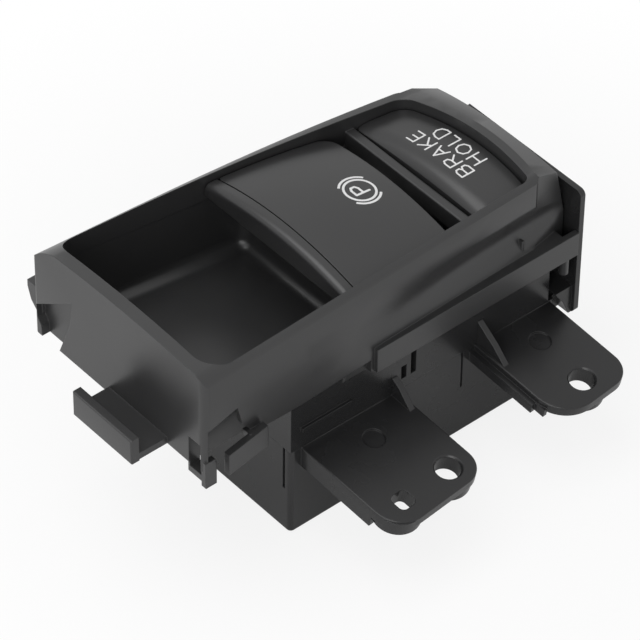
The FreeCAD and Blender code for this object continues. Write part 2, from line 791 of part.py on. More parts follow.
def lever_shape():
    top = val("lever_top") + 3
    bottom = val("lever_skirt_bottom")
    x0, x1 = val("lever_front"), val("lever_back")
    shell = val("lever_shell")
    solid = lever_plan(x0, x1, 0, bottom, top, [1, 2, 4.5, 1]).common(lever_volume(0))
    hollow = lever_plan(x0 + shell, x1 - shell, shell, bottom - 1, top, [1, 1, 3, 1])
    solid = solid.cut(hollow.common(lever_volume(-shell)))
    # Two ears carry the pivot pin, and a rib carries the arm
    pivot = Vector(val("pivot_along"), 0, val("pivot_height"))
    thick, play, eye_radius = val("lug_thickness"), val("lug_play"), val("lever_ear_radius")
    for y in (val("near_lug") + thick + play, val("far_lug") - play - thick):
        web = block(pivot.x - 4, x1 - 0.5, y, y + thick, bottom - 1, top)
        web = web.common(lever_volume(-1))
        eye = Part.makeCylinder(eye_radius, thick, Vector(pivot.x, y, pivot.z), Vector(0, 1, 0))
        neck = block(pivot.x - eye_radius, pivot.x + 3.2, y, y + thick, pivot.z, bottom)
        solid = solid.fuse([web, eye, neck])
    foot = block(val("arm_front") - 3, val("arm_front") + val("arm_thickness"),
                 val("arm_near"), val("arm_near") + val("arm_width"), val("arm_top"), top)
    seat = Part.makeCylinder(val("lever_spring_radius") + 1, top - val("lever_spring_top"),
                             Vector(val("lever_spring_along"), val("lever_spring_near"),
                                    val("lever_spring_top")))
    solid = solid.fuse([foot.common(lever_volume(-1)), seat.common(lever_volume(-1))])
    bore = Part.makeCylinder(val("pivot_pin_radius") + val("running_gap"), 60,
                             Vector(pivot.x, -30, pivot.z), Vector(0, 1, 0))
    return solid.cut(bore)


symbol_shapes = symbol_prisms()
lever_solid = lever_shape()
for piece in symbol_shapes:
    lever_solid = lever_solid.cut(piece.cut(lever_volume(-val("inlay_depth"))))
feature("park_lever", lever_solid)
feature("park_symbol", inlay(symbol_shapes, lever_volume))


def lip_shape():
    """The rounded nose in front of the groove."""
    x0, x1 = val("lip_front"), val("lever_front") - val("lip_groove")
    bottom, top = val("lip_bottom"), val("lever_top") + 3
    gap = val("lever_gap")
    solid = prism(opening_outline(x0, x1, gap, gap), bottom, top).common(lever_volume(0))
    nose = [edge for edge in solid.Edges
            if edge.BoundBox.XMax < x0 + 0.5 and edge.BoundBox.ZMin > bottom + 0.5
            and edge.BoundBox.YLength > 20]
    solid = solid.makeFillet(val("lip_rounding"), nose)
    rib = block(x1 - 0.5, val("lever_front"), near_side(x1) + gap + 8,
                far_side(x1) - gap - 8, bottom + 0.6, bottom + 2.2)
    return solid.fuse(rib)


feature("lever_front_lip", lip_shape())


# Arm and pin of the lever

arm = box("arm_blade", "arm_thickness", "arm_width", "arm_top - arm_bottom",
          "arm_front", "arm_near", "arm_bottom")
arm_foot = box("arm_foot", "arm_thickness + 3", "arm_width", "2",
               "arm_front - 3", "arm_near", "arm_top - 2")
joined("lever_arm", [arm, arm_foot])
round_pin("lever_pivot_pin", "pivot_pin_radius", "far_lug + lug_thickness - near_lug",
          "pivot_along", "far_lug + lug_thickness", "pivot_height", True)


# Hold button

def button_section(y, offset):
    """One long section of the button: a roll up from the bar, then a nearly level top."""
    x0 = val("bar_front") + val("bar_width") + 0.2
    x1 = val("trim_length") - val("rear_rim") + 1
    rise = (y - val("crown_peak")) ** 2 / (2 * val("button_crown_radius"))
    front = Vector(x0, y, val("button_front_height") - 0.3 * rise + offset)
    brow = Vector(x0 + val("button_roll"), y, val("button_height") - rise + offset)
    rear = Vector(x1, y, val("button_rear_height") - rise + offset)
    low = val("button_skirt_bottom") - 12
    roll = Part.BezierCurve()
    roll.setPoles([front, Vector(x0 + 0.35 * val("button_roll"), y, brow.z), brow])
    return Part.Wire([roll.toShape(), Part.makeLine(brow, rear),
                      Part.makeLine(rear, Vector(x1, y, low)),
                      Part.makeLine(Vector(x1, y, low), Vector(x0, y, low)),
                      Part.makeLine(Vector(x0, y, low), front)])


def button_volume(offset):
    return Part.makeLoft([button_section(y, offset) for y in (-34, -19, -5, 9, 26)], True)


def button_plan(inset, near_extra, far_extra, rear_extra, z0, z1):
    gap = val("button_gap") + inset
    x0 = val("bar_front") + val("bar_width") + gap
    x1 = val("trim_length") - val("rear_rim") - gap - rear_extra
    corner = val("opening_corner") - 1 - inset
    return bowed_prism(opening_outline(x0, x1, gap + near_extra, gap + far_extra),
                       val("rim_bow_radius"), [0.8, 2.0, corner, 0.8], z0, z1)


def legend_prisms():
    """Both words of the button's legend, letter by letter along their lines."""
    prisms = []
    tall, line = val("letter_height"), val("letter_line")
    low = val("button_height") - 6
    for word, base, start in (("BRAKE", "upper_line", "upper_start"),
                              ("HOLD", "lower_line", "lower_start")):
        y = val(start)
        for letter in word:
            prisms.append(letter_prism(letter, val(base), y, tall, line, low))
            width = max(u for path in LETTERS[letter] for u, v in path)
            y += width * tall * val("letter_width") + val("letter_gap")
    return prisms


def button_shape():
    """A hollow cap whose skirt steps in above the ledge of the bay."""
    bottom, top = val("button_skirt_bottom"), val("top_height")
    shell = val("button_shell")
    cap_bottom = val("ledge_height") + val("button_travel") + val("lever_gap") / 2
    near_step = val("bay_wall") - val("near_rim") - 0.2
    step = 2 * val("skirt_play")
    solid = button_plan(0, 0, 0, 0, cap_bottom, top)
    solid = solid.fuse(button_plan(0, near_step, step, step, bottom, top))
    solid = solid.common(button_volume(0))
    hollow = button_plan(shell, near_step, step, step, bottom - 1, top)
    solid = solid.cut(hollow.common(button_volume(-shell)))
    boss = Part.makeCylinder(val("hold_spring_radius") + 0.4, 12,
                             Vector(val("button_centre"), val("plunger_near"),
                                    val("plunger_top")))
    return solid.fuse(boss.common(button_volume(-1)))


letters = legend_prisms()
button_solid = button_shape()
for piece in letters:
    button_solid = button_solid.cut(piece.cut(button_volume(-val("inlay_depth"))))
feature("hold_button", button_solid)
feature("hold_legend", inlay(letters, button_volume))
round_pin("hold_plunger", "plunger_radius", "plunger_top - plunger_bottom",
          "button_centre", "plunger_near", "plunger_bottom")


# Upper half of the switch case

mid_outer = box("mid_outer", "mid_end - case_start", "case_near + case_far",
                "skirt_bottom - seam_height", "case_start", "-case_near", "seam_height")
mid_inner = box("mid_inner", "mid_end - case_start - 2 * case_wall",
                "case_near + case_far - 2 * case_wall",
                "skirt_bottom - seam_height", "case_start + case_wall",
                "case_wall - case_near", "seam_height - case_wall")
arm_slot = box("arm_slot", "8", "arm_width + 1", "10", "arm_front - 3.3",
               "arm_near - 0.5", "skirt_bottom - 5")
lugs = []
lug_bores = []
for index, place_y in enumerate(("near_lug", "far_lug")):
    lugs.append(box("lug_%d" % index, "2 * lug_eye", "lug_thickness",
                    "pivot_height - skirt_bottom", "pivot_along - lug_eye", place_y,
                    "skirt_bottom"))
    lugs.append(cylinder("lug_eye_%d" % index, "lug_eye", "lug_thickness",
                         "pivot_along", place_y, "pivot_height", "y"))
    lug_bores.append(cylinder("lug_bore_%d" % index, "pivot_pin_radius", "lug_thickness",
                              "pivot_along", place_y, "pivot_height", "y"))
plunger_tube = cylinder("plunger_tube", "plunger_radius + 1.2", "guide_tube_top - skirt_bottom + 4",
                        "button_centre", "plunger_near", "skirt_bottom - 4")
plunger_bore = cylinder("plunger_bore", "plunger_radius + 0.08", "30",
                        "button_centre", "plunger_near", "skirt_bottom - 5")
park_guide_hole = cylinder("park_guide_hole", "guide_radius + guide_play", "10", "symbol_centre",
                           "symbol_near", "skirt_bottom - 5")
hold_guide_hole = cylinder("hold_guide_hole", "guide_radius + guide_play", "10", "button_centre",
                           "legend_middle", "skirt_bottom - 5")
corner_spots = [("case_start + screw_inset", "screw_inset - case_near"),
                ("mid_end - screw_inset", "screw_inset - case_near"),
                ("case_start + screw_inset", "case_far - screw_inset"),
                ("mid_end - screw_inset", "case_far - screw_inset")]
mid_posts = []
mid_threads = []
for index, (x, y) in enumerate(corner_spots):
    mid_posts.append(cylinder("mid_post_%d" % index, "screw_post_radius",
                              "skirt_bottom - seam_height - 1", x, y, "seam_height"))
    mid_threads.append(cylinder("mid_thread_%d" % index, "screw_radius",
                                "screw_length - seam_height + 3", x, y, "seam_height - 1"))
ledge = box("mid_ledge", "15", "0.9", "1.2", "case_start + 3", "-case_near - 0.8",
            "skirt_bottom - 9.6")
slots = [box("mid_slot_%d" % index, "1.6", "3", height, x, "-case_near - 1", z)
         for index, (x, z, height) in enumerate([("case_start + 34", "skirt_bottom - 12", "4"),
                                                 ("case_start + 37", "skirt_bottom - 12", "7")])]
mid_shell = cut("mid_shell", joined("mid_walls", [mid_outer, ledge]), [mid_inner])
cut("mid_case", joined("mid_body", [mid_shell, plunger_tube] + lugs + mid_posts),
    [arm_slot, plunger_bore, park_guide_hole, hold_guide_hole] + lug_bores + mid_threads + slots)


# Lower half with its ears

def ear_frame():
    """The tilted plane that both ears share: along the trim, out, and up."""
    turn, tilt = math.radians(val("ear_turn")), math.radians(val("ear_tilt"))
    along = Vector(math.cos(turn), math.sin(turn), 0)
    out = Vector(math.sin(turn) * math.cos(tilt), -math.cos(turn) * math.cos(tilt),
                 -math.sin(tilt))
    return along, out, out.cross(along)


def ear_place(start_x):
    """The ear's own frame: X along, Y inward, Z up from its top face."""
    along, out, up = ear_frame()
    base = Vector(start_x, -val("case_near"), val("seam_height"))
    matrix = FreeCAD.Matrix(along.x, -out.x, up.x, base.x,
                            along.y, -out.y, up.y, base.y,
                            along.z, -out.z, up.z, base.z)
    return Placement(matrix)


def ear_solid(width, reach, corners, start):
    """A plate below its top face with a skirt along its front edge."""
    thick = val("ear_thickness")
    points = [(start, 5), (start, -reach), (start + width, -reach), (start + width, 5)]
    plate = prism(points, -thick, 0)
    for (x, y), radius in zip(points[1:3], corners):
        plate = plate.makeFillet(radius, upright_edges(plate, x, y))
    top = [edge for edge in plate.Edges if edge.BoundBox.ZMin > -0.01
           and edge.BoundBox.YMin < -1 and edge.BoundBox.YMax < 5.1]
    return plate.makeFillet(0.35, [edge for edge in top if edge.BoundBox.YMax < 4.99
                                   or edge.BoundBox.XLength < 0.01])


def screw_boss(plate, along, out):
    """A round boss under the plate and a chamfered hole through both."""
    radius, depth = val("screw_hole_radius"), val("boss_depth")
    chamfer = val("hole_chamfer")
    plate = plate.fuse(Part.makeCylinder(val("boss_radius"), depth - 0.5,
                                         Vector(along, -out, -depth)))
    plate = plate.cut(Part.makeCylinder(radius, depth + 2, Vector(along, -out, -depth - 1)))
    return plate.cut(Part.makeCone(radius, radius + chamfer + 0.1, chamfer + 0.1,
                                   Vector(along, -out, -chamfer)))


def dimple(plate, along, out):
    return plate.cut(Part.makeCylinder(2.8, 0.5, Vector(along, -out, -0.5)))


def front_ear():
    width, reach = val("front_ear_width"), val("front_ear_reach")
    ear = ear_solid(width, reach, [8, 6], 2.8)
    ear = screw_boss(ear, val("front_hole_along"), val("front_hole_out"))
    # Side rib, corner pad and a rounded square hole for a locating peg
    rib = block(2.8, 4.4, -reach + 8.6, 4, -6.0, -0.6)
    pad = Part.makeCylinder(6.0, 3.9, Vector(9.2, -reach + 6.2, -4.4))
    far_rib = block(2.8 + width - 1.5, 2.8 + width, -reach + 8, 4, -4.6, -0.6)
    ear = ear.fuse([rib, pad, far_rib])
    half = val("locating_width") / 2
    x, y = val("locating_along"), -val("front_hole_out")
    hole = block(x - half, x + half, y - half, y + half, -8, 1)
    hole = hole.makeFillet(1.5, [edge for edge in hole.Edges if edge.BoundBox.ZLength > 5])
    ear = ear.cut(hole)
    # Gusset from the wall down to the ear
    rise = [Vector(30.6, 3, 8), Vector(30.6, -4, 4.4), Vector(30.6, -9.5, -0.5),
            Vector(30.6, 3, -0.5)]
    gusset = Part.Face(Part.makePolygon(rise + rise[:1])).extrude(Vector(1.6, 0, 0))
    ear = dimple(ear, 18.2, 9.1).fuse(gusset)
    ear.Placement = ear_place(val("ear_start"))
    return ear


def rear_ear():
    width, reach = val("rear_ear_width"), val("rear_ear_reach")
    start = -val("rear_ear_side")
    ear = ear_solid(width, reach, [9.5, 6], start)
    ear = screw_boss(ear, val("rear_hole_along"), val("rear_hole_out"))
    side = block(start - 1.5, start + 0.2, -reach + 9, 4, -4.4, -1.6)
    fin = block(start - 0.4, start + 0.8, -reach + 6, -reach + 9.2, -3.9, -1.6)
    rise = [Vector(start + 0.6, 3, 8), Vector(start + 0.6, -4.5, 3.4),
            Vector(start + 0.6, -9.5, -0.5), Vector(start + 0.6, 3, -0.5)]
    gusset = Part.Face(Part.makePolygon(rise + rise[:1])).extrude(Vector(1.6, 0, 0))
    ear = dimple(ear.fuse([side, fin]), 8.4, 8.7).fuse(gusset)
    ear.Placement = ear_place(val("ear_start") + val("rear_ear_start"))
    return ear


def lower_case_shape():
    x0, x1 = val("case_start"), val("case_end")
    near, far = -val("case_near"), val("case_far")
    wall, floor, top = val("case_wall"), val("case_floor"), val("seam_height")
    solid = block(x0, x1, near, far, 0, top)
    corners = upright_edges(solid, x0, near) + upright_edges(solid, x0, far)
    solid = solid.makeFillet(val("case_corner"), corners)
    bottom = [edge for edge in solid.Edges if edge.BoundBox.ZMax < 0.01]
    solid = solid.makeFillet(val("case_corner") - 0.2, bottom)
    solid = solid.fuse([front_ear(), rear_ear()])
    # Rear plate and its web down to the rear ear
    plate_near, plate_top = -val("rear_plate_near"), val("rear_plate_top")
    rear = val("rear_plate_start")
    plate = block(rear, rear + val("rear_plate_thickness"), plate_near, far - 6,
                  top - 4.6, plate_top)
    plate = plate.makeFillet(1.6, [edge for edge in plate.Edges
                                   if edge.BoundBox.XLength > 1 and edge.BoundBox.YLength < 0.1
                                   and edge.BoundBox.ZLength < 0.1
                                   and edge.BoundBox.YMax < plate_near + 0.1])
    y = plate_near + 1.0
    web_points = [Vector(rear - 5.4, y, 31), Vector(rear - 2.8, y, 27), Vector(rear - 0.8, y, 22.4),
                  Vector(rear + 0.5, y, 22.4), Vector(rear + 0.5, y, 31)]
    web = Part.Face(Part.makePolygon(web_points + web_points[:1])).extrude(Vector(0, 6.4, 0))
    stays = [block(x1 - 1, rear + 0.5, y, y + 1.6, top - 4.6, top - 0.2)
             for y in (near + 1, near + 13, near + 25, far - 8)]
    solid = solid.fuse([plate, web] + stays)
    solid = solid.cut(block(x0 + wall, x1 - wall, near + wall, far - wall, floor, top + 12))
    return case_inside(solid)


def case_inside(solid):
    """Screw posts, board supports, connector window and the outer grooves."""
    x0, x1 = val("case_start"), val("mid_end")
    near, far = -val("case_near"), val("case_far")
    inset, top = val("screw_inset"), val("seam_height")
    post = val("screw_post_radius")
    spots = [(x, y) for x in (x0 + inset, x1 - inset) for y in (near + inset, far - inset)]
    posts = [Part.makeCylinder(post, top - 1, Vector(x, y, 1)) for x, y in spots]
    supports = [block(x, x + 3, y, y + 3, 1, val("board_height"))
                for x in (x0 + 36, x1 - 26) for y in (near + 5, far - 8)]
    solid = solid.fuse(posts + supports)
    for x, y in spots:
        solid = solid.cut(Part.makeCylinder(val("screw_radius") + 0.3, top + 2, Vector(x, y, -1)))
        solid = solid.cut(Part.makeCylinder(val("screw_head_radius") + 0.3, 3.4,
                                            Vector(x, y, -1)))
    start, width = val("header_start"), val("header_width")
    bottom, high = val("header_bottom"), val("board_height")
    solid = solid.cut(block(start - 0.3, start + width + 0.3, far - 5, far + 1,
                            bottom - 0.3, high + 0.3))
    groove = block(x0 - 1, x0 + 0.7, near + 2.0, near + 2.8, 14, top + 1)
    seam = block(val("rear_ear_start") + 20.4, val("rear_ear_start") + 21.0, near - 1,
                 near + 0.6, 15.5, top + 1)
    solid = solid.cut(groove).cut(seam)
    # Keep the ears out of the way of the upper half
    return solid.cut(block(x0 - 0.5, x1, near, far, top, val("skirt_bottom")))


feature("lower_case", lower_case_shape().removeSplitter())


# Board, contacts, connector and lamps

def circuit_board():
    """A padded plate with a notch for each screw post and a row of holes for the pins."""
    length = "mid_end - case_start - 2 * board_margin"
    width = "case_near + case_far - 2 * board_margin"
    notch = "2 * screw_inset - board_margin"
    body = new_body("circuit_board", "case_start + board_margin", "board_margin - case_near",
                    "board_height")
    outline = new_sketch(body, "board_outline")
    rectangle(outline, "0", "0", length, width)
    pad(body, outline, "board_thickness")
    # Each notch starts outside the plate, so one row of cuts opens the corners
    notches = new_sketch(body, "board_notches")
    rectangle(notches, "0", "0", notch, notch)
    rectangle(notches, "0", "%s - (%s)" % (width, notch), notch, notch)
    corner = pocket(body, notches)
    row_of(body, corner, "%s - (%s)" % (length, notch), "2")
    start = "header_start + pin_margin - pin_width / 2 - case_start - board_margin"
    inner = "case_far - header_depth - pin_stand_off + case_near - board_margin"
    hole = new_sketch(body, "board_pin_hole")
    rectangle(hole, start, inner, "pin_width", "pin_width")
    row_of(body, pocket(body, hole), "header_width - 2 * pin_margin", "pin_count")


def connector_header():
    """A padded block with a mouth cut into its outer face and a hole for each pin."""
    body = new_body("connector_header", "header_start", "case_far", "header_bottom", True)
    outline = new_sketch(body, "header_outline")
    rectangle(outline, "0", "0", "header_width", "board_height - header_bottom")
    pad(body, outline, "header_depth")
    wall = "header_wall"
    mouth = new_sketch(body, "header_mouth")
    rectangle(mouth, wall, wall, "header_width - 2 * " + wall,
              "board_height - header_bottom - 2 * " + wall)
    pocket(body, mouth, "header_depth - 2 * " + wall)
    hole = new_sketch(body, "header_pin_hole")
    rectangle(hole, "pin_margin - pin_width / 2", "(board_height - header_bottom) / 2 - pin_width / 2",
              "pin_width", "pin_width")
    row_of(body, pocket(body, hole), "header_width - 2 * pin_margin", "pin_count")


def pin_group():
    """Bent square pins from the board out to the connector's mouth."""
    half, high = val("pin_width") / 2, val("board_height")
    count = int(val("pin_count"))
    margin = val("pin_margin")
    pitch = (val("header_width") - 2 * margin) / (count - 1)
    level = (val("header_bottom") + high) / 2
    back = val("case_far") - val("header_depth") - val("pin_stand_off")
    pins = []
    for index in range(count):
        x = val("header_start") + margin + index * pitch
        flat = block(x - half, x + half, back, val("case_far") - margin, level - half,
                     level + half)
        rise = block(x - half, x + half, back, back + 2 * half, level - half,
                     high + val("board_thickness") + 0.8)
        pins.append(flat.fuse(rise).removeSplitter())
    return Part.makeCompound(pins)


feature("terminal_pins", pin_group())
connector_header()
circuit_board()
contacts = [box("contact_%d" % index, "contact_length", "contact_width", "contact_thickness",
                "slider_start + %s" % offset, "slider_near + %s" % across,
                "board_height + board_thickness")
            for index, (offset, across) in enumerate([("0.5", "1"), ("0.5", "5"),
                                                      ("8.5", "1"), ("8.5", "5")])]
doc.addObject("Part::Compound", "board_contacts").Links = contacts
slider_block = box("slider_block", "slider_length", "slider_width", "slider_thickness",
                   "slider_start", "slider_near", "slider_bottom")
slider_notch = box("slider_notch", "arm_thickness + 2 * arm_play", "slider_width + 2",
                   "slider_thickness", "arm_front - arm_play", "slider_near - 1",
                   "slider_bottom + 1.2")


def wiper_strips(name):
    """The two strips under the slider, used as its wipers and to cut their seats."""
    return [box("%s_%d" % (name, index), "slider_length - 3", "wiper_width",
                "contact_thickness", "slider_start + 1.5", "slider_near + %s" % across,
                "slider_bottom")
            for index, across in enumerate(("1.4", "5.4"))]


cut("contact_slider", slider_block, [slider_notch] + wiper_strips("wiper_seat"))
doc.addObject("Part::Compound", "slider_wipers").Links = wiper_strips("wiper")
tact_base = box("tact_base", "tact_width", "tact_width", "tact_base_height",
                "button_centre - tact_width / 2", "plunger_near - tact_width / 2",
                "board_height + board_thickness")
tact_top = cylinder("tact_top", "tact_key_radius", "tact_height", "button_centre",
                    "plunger_near", "board_height + board_thickness")
joined("hold_tact_switch", [tact_base, tact_top])
for name, x, y, top in (("park", "symbol_centre", "symbol_near", "park_guide_top"),
                        ("hold", "button_centre", "legend_middle", "hold_guide_top")):
    box(name + "_led", "led_width", "led_width", "led_height", x + " - led_width / 2",
        y + " - led_width / 2", "board_height + board_thickness")
    cylinder(name + "_light_guide", "guide_radius",
             top + " - board_height - board_thickness - led_height",
             x, y, "board_height + board_thickness + led_height")


# Springs and screws

def spring(label, radius, wire, low, high, turns, x, y):
    """A round compression coil standing on its low end."""
    length = val(high) - val(low) - val(wire) * 2
    helix = Part.makeHelix(length / turns, length, val(radius))
    ring = Part.Wire(Part.makeCircle(val(wire), Vector(val(radius), 0, 0), Vector(0, 1, 0)))
    coil = Part.Wire(helix.Edges).makePipeShell([ring], True, True)
    coil.translate(Vector(val(x), val(y), val(low) + val(wire)))
    return feature(label, coil)


spring("lever_return_spring", "lever_spring_radius", "spring_wire", "skirt_bottom",
       "lever_spring_top", 7, "lever_spring_along", "lever_spring_near")
spring("hold_return_spring", "hold_spring_radius", "spring_wire", "skirt_bottom",
       "plunger_top", 7, "button_centre", "plunger_near")
screws = []
for index, (x, y) in enumerate(corner_spots):
    shank = cylinder("screw_shank_%d" % index, "screw_radius", "screw_length", x, y, "1")
    head = cylinder("screw_head_%d" % index, "screw_head_radius", "1.9", x, y, "0.5")
    drive = box("screw_drive_%d" % index, "0.9", "3.4", "1", x + " - 0.45", y + " - 1.7", "0.2")
    screws.append(cut("screw_%d" % index, joined("screw_blank_%d" % index, [shank, head]),
                      [drive]))
doc.addObject("Part::Compound", "case_screws").Links = screws

NODES = ["bezel", "mid_case", "lower_case", "case_screws", "circuit_board", "board_contacts",
         "connector_header", "terminal_pins", "hold_tact_switch", "park_led", "hold_led",
         "park_light_guide", "hold_light_guide", "lever_pivot_pin", "lever_return_spring",
         "hold_return_spring", "park_lever", "lever_front_lip", "park_symbol", "lever_arm",
         "contact_slider", "slider_wipers", "hold_button", "hold_legend", "hold_plunger"]

# The shared origin is the centre of the flat base of the case
SHIFTS = {".Placement.Base.x": "(Sizes.case_start + Sizes.case_end) / 2",
          ".Placement.Base.y": "(Sizes.case_far - Sizes.case_near) / 2"}
for label in NODES:
    obj = doc.getObject(label)
    bindings = dict(obj.ExpressionEngine)
    for path, shift in SHIFTS.items():
        own = str(getattr(obj.Placement.Base, path[-1]))
        base = bindings.get(path, bindings.get(path[1:], own))
        obj.setExpression(path, "%s - %s" % (base, shift))

doc.recompute()
failed = [obj.Name for obj in doc.Objects if {"Invalid", "Error"} & set(obj.State)]
if failed:
    raise RuntimeError("failed objects: %s" % ", ".join(failed))
os.makedirs("parts", exist_ok=True)
for label in NODES:
    shape = doc.getObject(label).Shape
    if shape.isNull() or not shape.isValid() or not shape.Solids:
        raise RuntimeError("bad shape: " + label)
    shape.exportStep("parts/%s.step" % label)
    print(label, len(shape.Solids), [round(v, 2) for v in
                                     (shape.BoundBox.XMin, shape.BoundBox.XMax,
                                      shape.BoundBox.YMin, shape.BoundBox.YMax,
                                      shape.BoundBox.ZMin, shape.BoundBox.ZMax)],
          round(shape.Volume))
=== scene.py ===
import math
import bpy
from mathutils import Matrix, Vector


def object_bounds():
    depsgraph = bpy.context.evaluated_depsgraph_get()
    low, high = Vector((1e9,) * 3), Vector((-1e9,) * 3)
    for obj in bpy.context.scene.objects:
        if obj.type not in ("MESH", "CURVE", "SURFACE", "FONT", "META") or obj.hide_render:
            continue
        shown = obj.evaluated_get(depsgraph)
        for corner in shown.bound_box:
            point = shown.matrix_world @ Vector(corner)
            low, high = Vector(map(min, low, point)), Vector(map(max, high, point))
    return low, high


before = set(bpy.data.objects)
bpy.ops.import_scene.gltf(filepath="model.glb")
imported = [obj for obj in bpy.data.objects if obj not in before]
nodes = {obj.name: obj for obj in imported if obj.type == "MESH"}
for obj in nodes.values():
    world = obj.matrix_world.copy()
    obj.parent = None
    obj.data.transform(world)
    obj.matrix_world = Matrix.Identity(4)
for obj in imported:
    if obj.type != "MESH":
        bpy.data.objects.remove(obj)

# An electric parking brake switch: black moulded trim with a finger pocket, a sprung
# lever, a hold button and a screwed case with two ears. Lengths are in metres.

cad_low, cad_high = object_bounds()


# Helpers for the materials

# The ends of the noise between which a measure or a colour changes
SPREAD_ENDS = (0.3, 0.7)
TINT_ENDS = (0.35, 0.65)
CLOUD_SCALE = 60.0
PLASTIC_GRAIN = 0.35
METAL_GRAIN = 0.15


def new_material(name):
    """An empty material with a shader joined to its output."""
    material = bpy.data.materials.new(name)
    material.use_nodes = True
    tree = material.node_tree
    tree.nodes.clear()
    output = tree.nodes.new("ShaderNodeOutputMaterial")
    shader = tree.nodes.new("ShaderNodeBsdfPrincipled")
    tree.links.new(shader.outputs["BSDF"], output.inputs["Surface"])
    return material, tree, shader


def noise(tree, scale, detail=4.0, roughness=0.55):
    """Noise in the object's own space, scale in features per metre."""
    place = tree.nodes.new("ShaderNodeTexCoord")
    texture = tree.nodes.new("ShaderNodeTexNoise")
    texture.inputs["Scale"].default_value = scale
    texture.inputs["Detail"].default_value = detail
    texture.inputs["Roughness"].default_value = roughness
    tree.links.new(place.outputs["Object"], texture.inputs["Vector"])
    return texture.outputs["Fac"]


def spread(tree, value, low, high):
    """Maps a noise value onto a range."""
    node = tree.nodes.new("ShaderNodeMapRange")
    node.inputs["From Min"].default_value = SPREAD_ENDS[0]
    node.inputs["From Max"].default_value = SPREAD_ENDS[1]
    node.inputs["To Min"].default_value = low
    node.inputs["To Max"].default_value = high
    tree.links.new(value, node.inputs["Value"])
    return node.outputs["Result"]


def tint(tree, value, dark, light):
    """Mixes two near colours by a noise value."""
    ramp = tree.nodes.new("ShaderNodeValToRGB")
    for element, position, colour in zip(ramp.color_ramp.elements, TINT_ENDS, (dark, light)):
        element.position = position
        element.color = (*colour, 1)
    tree.links.new(value, ramp.inputs["Fac"])
    return ramp.outputs["Color"]


def relief(tree, shader, grain, strength, depth, edge):
    """Fine surface grain over softly rounded edges."""
    rounding = tree.nodes.new("ShaderNodeBevel")
    rounding.samples = 4
    rounding.inputs["Radius"].default_value = edge
    bump = tree.nodes.new("ShaderNodeBump")
    bump.inputs["Strength"].default_value = strength
    bump.inputs["Distance"].default_value = depth
    tree.links.new(grain, bump.inputs["Height"])
    tree.links.new(rounding.outputs["Normal"], bump.inputs["Normal"])
    tree.links.new(bump.outputs["Normal"], shader.inputs["Normal"])


def plastic(name, dark, light, rough, grain_scale, grain_depth, edge=0.0003, specular=0.5):
    """A moulded plastic between two near colours, with a fine grain."""
    material, tree, shader = new_material(name)
    cloud = noise(tree, CLOUD_SCALE)
    fine = noise(tree, grain_scale, 2.0)
    tree.links.new(tint(tree, cloud, dark, light), shader.inputs["Base Color"])
    tree.links.new(spread(tree, cloud, rough - 0.03, rough + 0.03), shader.inputs["Roughness"])
    shader.inputs["Specular IOR Level"].default_value = specular
    relief(tree, shader, fine, PLASTIC_GRAIN, grain_depth, edge)
    return material


def metal(name, colour, rough):
    """A bright metal with faint drawing marks."""
    material, tree, shader = new_material(name)
    cloud = noise(tree, 400.0)
    tree.links.new(tint(tree, cloud, [c * 0.85 for c in colour], colour),
                   shader.inputs["Base Color"])
    shader.inputs["Metallic"].default_value = 1.0
    tree.links.new(spread(tree, cloud, rough - 0.06, rough + 0.06), shader.inputs["Roughness"])
    relief(tree, shader, noise(tree, 3000.0), METAL_GRAIN, 0.00002, 0.0001)
    return material


def clear_guide(name):
    """Clear plastic for the light guides."""
    material, tree, shader = new_material(name)
    cloud = noise(tree, 200.0)
    tree.links.new(tint(tree, cloud, (0.9, 0.92, 0.93), (0.96, 0.97, 0.98)),
                   shader.inputs["Base Color"])
    tree.links.new(spread(tree, cloud, 0.06, 0.14), shader.inputs["Roughness"])
    shader.inputs["Transmission Weight"].default_value = 0.85
    shader.inputs["IOR"].default_value = 1.49
    return material


TRIM = plastic("trim plastic", (0.0240, 0.0240, 0.0245), (0.0260, 0.0260, 0.0265), 0.33,
               5200.0, 0.00002)
LEVER = plastic("lever plastic", (0.0210, 0.0210, 0.0215), (0.0225, 0.0225, 0.0230), 0.32,
                6500.0, 0.000012)
CASE = plastic("case plastic", (0.0165, 0.0165, 0.0170), (0.0185, 0.0185, 0.0190), 0.26,
               4200.0, 0.000015, specular=0.36)
LEGEND = plastic("legend ink", (0.78, 0.78, 0.78), (0.82, 0.82, 0.82), 0.5, 5000.0,
                 0.000005, 0.00005)
INNER = plastic("natural plastic", (0.66, 0.65, 0.61), (0.72, 0.71, 0.67), 0.42, 4000.0,
                0.00001)
SWITCH = plastic("switch plastic", (0.03, 0.03, 0.032), (0.04, 0.04, 0.042), 0.5, 4000.0,
                 0.00001)
BOARD = plastic("board lacquer", (0.01, 0.12, 0.05), (0.015, 0.15, 0.065), 0.3, 2500.0,
                0.00001)
LAMP = plastic("lamp", (0.85, 0.83, 0.7), (0.92, 0.9, 0.78), 0.25, 2500.0, 0.00001)
STEEL = metal("spring steel", (0.62, 0.63, 0.65), 0.3)
BRASS = metal("contact brass", (0.8, 0.6, 0.26), 0.28)
GUIDE = clear_guide("clear guide")

NODE_LOOKS = {
    TRIM: ["bezel"],
    LEVER: ["park_lever", "lever_front_lip", "hold_button"],
    CASE: ["mid_case", "lower_case"],
    LEGEND: ["park_symbol", "hold_legend"],
    INNER: ["lever_arm", "contact_slider", "hold_plunger"],
    SWITCH: ["connector_header", "hold_tact_switch"],
    BOARD: ["circuit_board"],
    LAMP: ["park_led", "hold_led"],
    STEEL: ["case_screws", "lever_pivot_pin", "lever_return_spring", "hold_return_spring"],
    BRASS: ["board_contacts", "terminal_pins", "slider_wipers"],
    GUIDE: ["park_light_guide", "hold_light_guide"],
}


